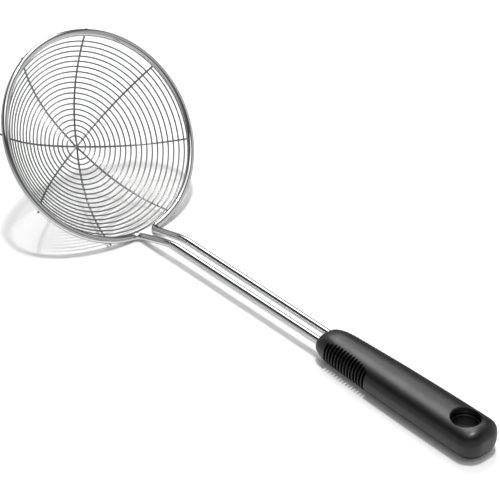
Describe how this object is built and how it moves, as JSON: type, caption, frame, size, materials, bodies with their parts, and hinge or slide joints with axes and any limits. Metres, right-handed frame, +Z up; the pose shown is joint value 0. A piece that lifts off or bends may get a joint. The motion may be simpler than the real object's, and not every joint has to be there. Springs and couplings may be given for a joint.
{
  "type": "wire skimmer",
  "caption": "Kitchen skimmer: a round spiral-wound wire bowl on crossed ribs hangs under the hoop of one bent rod, whose two legs run back into a finned soft oval grip with a hang hole.",
  "frame": {"origin": "on the table, under the middle of the skimmer's overall length, in its plane of symmetry", "axes": "+X along the shaft from the basket to the grip's rounded end, +Z up from the table, +Y to the left"},
  "size_m": [0.3616, 0.1302, 0.0982],
  "materials": {
    "rod_steel": "polished bright",
    "wire_steel": "drawn bright",
    "core_plastic": "moulded",
    "grip_rubber": "soft matte"
  },
  "bodies": {
    "root": {"frame_rod": "rod_steel", "rib_wire_1": "wire_steel", "rib_wire_2": "wire_steel", "rib_wire_3": "wire_steel", "rib_wire_4": "wire_steel", "spiral_wire": "wire_steel", "grip_core": "core_plastic", "grip_sleeve": "grip_rubber"}
  },
  "joints": []
}
